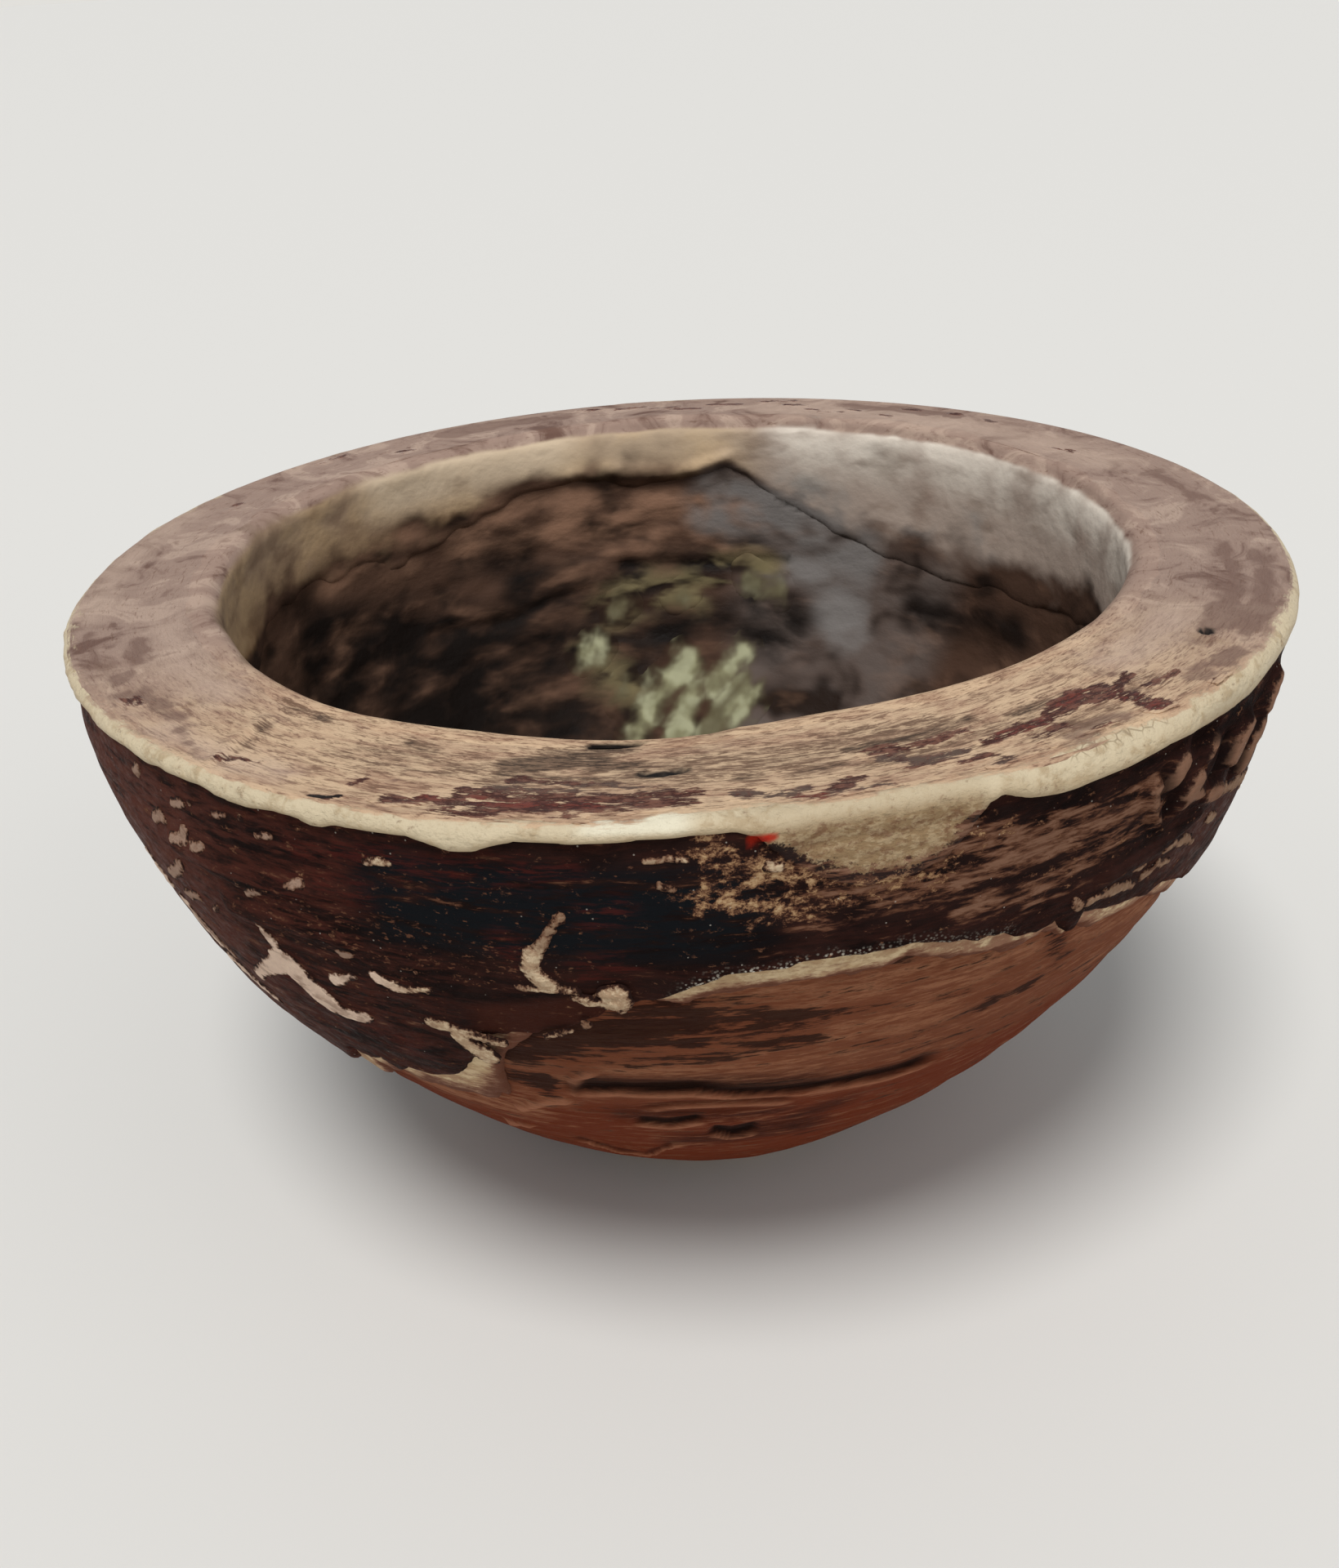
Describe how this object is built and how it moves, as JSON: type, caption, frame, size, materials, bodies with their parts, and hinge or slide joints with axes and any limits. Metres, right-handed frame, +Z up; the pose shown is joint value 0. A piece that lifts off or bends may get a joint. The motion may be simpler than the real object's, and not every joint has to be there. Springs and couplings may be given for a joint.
{
  "type": "coconut shell bowl",
  "caption": "Round thick-walled bowl with a flat rim, rounded sides and a small flat foot; worn dark outer skin over pale and red-brown layers, for holding small dry goods.",
  "frame": {"origin": "centre of the flat foot, on the table", "axes": "+Z up along the bowl's axis, -Y towards the side that the picture shows, +X to its right"},
  "size_m": [0.13, 0.13, 0.071],
  "materials": {
    "wall": "raw cut face, rubbed with a mauve-brown stain, matte",
    "fibre": "red-brown fibre with level grooves, matte",
    "ground": "pale filler coat, chalky",
    "skin": "near-black brown skin, satin, pitted",
    "scab": "pale raised filler, chalky",
    "lip": "cream bead, satin",
    "flake": "dark red skin left in the rim, satin",
    "lining": "dark brown scraped inside, satin",
    "coat": "olive-cream coat, worn thin, matte",
    "residue": "pale green residue, chalky"
  },
  "bodies": {
    "root": {"shell_wall": "wall", "fibre_layer": "fibre", "ground_coat": "ground", "dark_skin": "skin", "pale_scabs": "scab", "rim_lip": "lip", "rim_flakes": "flake", "inner_lining": "lining", "mouth_coat": "coat", "inner_residue": "residue"}
  },
  "joints": []
}
